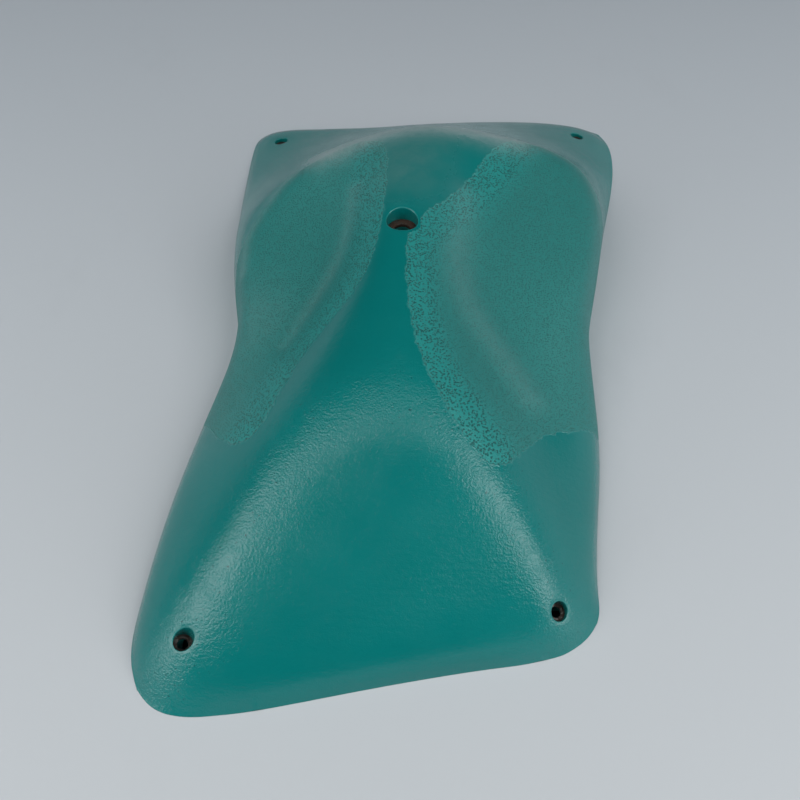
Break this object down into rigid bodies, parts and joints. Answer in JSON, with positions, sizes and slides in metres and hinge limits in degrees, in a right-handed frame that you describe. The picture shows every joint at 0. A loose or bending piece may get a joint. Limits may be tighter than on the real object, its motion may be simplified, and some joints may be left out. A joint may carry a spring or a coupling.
{
  "type": "climbing hold",
  "caption": "Large moulded climbing hold with a smooth ridge, textured scoops, a recessed bolt hole, corner screw holes and a hollow ribbed back.",
  "frame": {"origin": "bolt hole axis at the flat back plane", "axes": "+Z out of the wall along the bolt axis, +Y along the length from the blunt knee end towards the arched crest end"},
  "size_m": [0.3459, 0.5258, 0.0883],
  "materials": {
    "shell": "glossy ridge and lower facets, matt fine-grained scoops",
    "bolt_washer": "zinc plated, lightly rusted",
    "screw_washer": "zinc plated, dull"
  },
  "bodies": {
    "root": {"hold_shell": "shell", "bolt_washer": "bolt_washer", "screw_washer_far_left": "screw_washer", "screw_washer_far_right": "screw_washer", "screw_washer_near_left": "screw_washer", "screw_washer_near_right": "screw_washer"}
  },
  "joints": []
}
